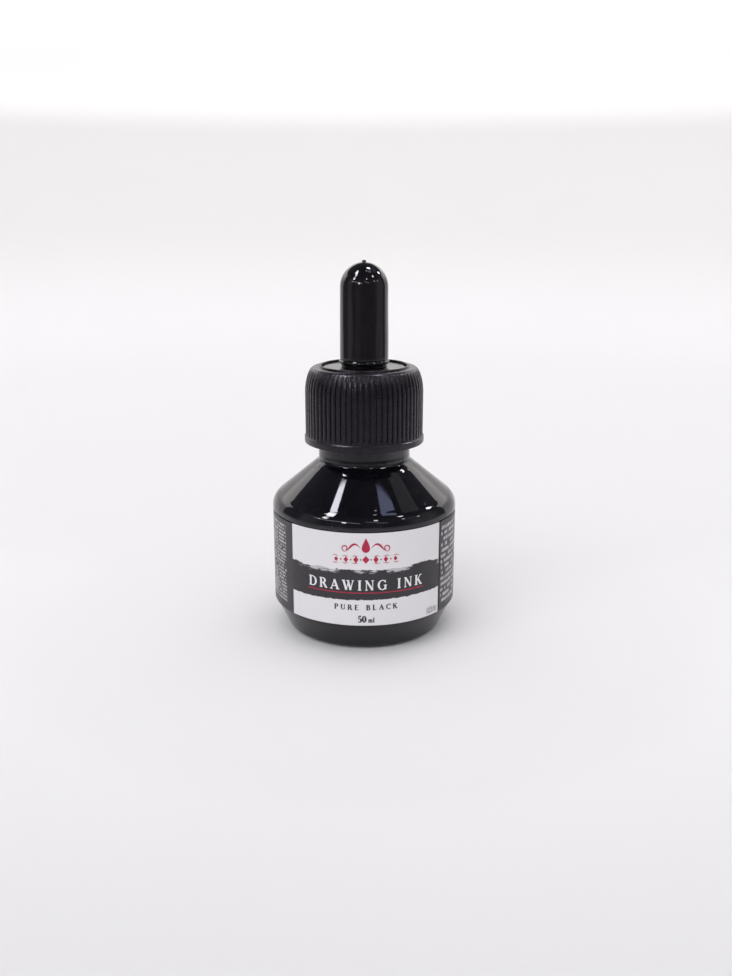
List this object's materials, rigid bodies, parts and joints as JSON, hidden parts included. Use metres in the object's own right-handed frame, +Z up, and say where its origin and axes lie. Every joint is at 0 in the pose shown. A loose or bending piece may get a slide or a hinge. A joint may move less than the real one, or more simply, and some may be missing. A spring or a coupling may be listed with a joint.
{
  "type": "ink bottle",
  "caption": "Black plastic ink bottle with a conical shoulder, wrap-round label, ribbed screw cap and a glass pipette under a squeeze bulb.",
  "frame": {"origin": "centre of the face that the bottle stands on", "axes": "+Z up along the bottle's axis, the label's front panel facing -Y"},
  "size_m": [0.046, 0.046, 0.0912],
  "materials": {
    "bottle_plastic": "glossy black moulded plastic",
    "label_print": "satin charcoal film label with a white front panel",
    "cap_plastic": "satin black moulded plastic with grip ribs",
    "insert_plastic": "glossy black moulded plastic",
    "washer_foam": "off-white expanded polyethylene foam",
    "pipette_glass": "clear drawn glass",
    "bulb_rubber": "glossy black dipped rubber"
  },
  "bodies": {
    "bottle_body": {"bottle": "bottle_plastic", "wrap_label": "label_print"},
    "seal": {"sealing_washer": "washer_foam"},
    "dropper": {"dropper_insert": "insert_plastic", "pipette": "pipette_glass"},
    "cap": {"screw_cap": "cap_plastic"},
    "bulb": {"dropper_bulb": "bulb_rubber"}
  },
  "joints": [
    {"name": "dropper_lift", "type": "slide", "parent": "bottle_body", "child": "seal", "axis": [0, 0, 1], "range_m": [0, 0.07]},
    {"name": "cap_rise", "type": "slide", "parent": "seal", "child": "dropper", "axis": [0, 0, 1], "range_m": [0, 0.0045]},
    {"name": "cap_turn", "type": "hinge", "parent": "dropper", "child": "cap", "pos_m": [0, 0, 0.057], "axis": [0, 0, 1], "range_deg": [0, 540]},
    {"name": "bulb_squeeze", "type": "slide", "parent": "dropper", "child": "bulb", "axis": [1, 0, 0], "range_m": [0, 0.0018], "stiffness_N_per_m": 400, "deforming": ["dropper_bulb"]}
  ],
  "couplings": [
    {"joint": "cap_turn", "follows": "cap_rise", "rad_per_m": 2094.4}
  ]
}
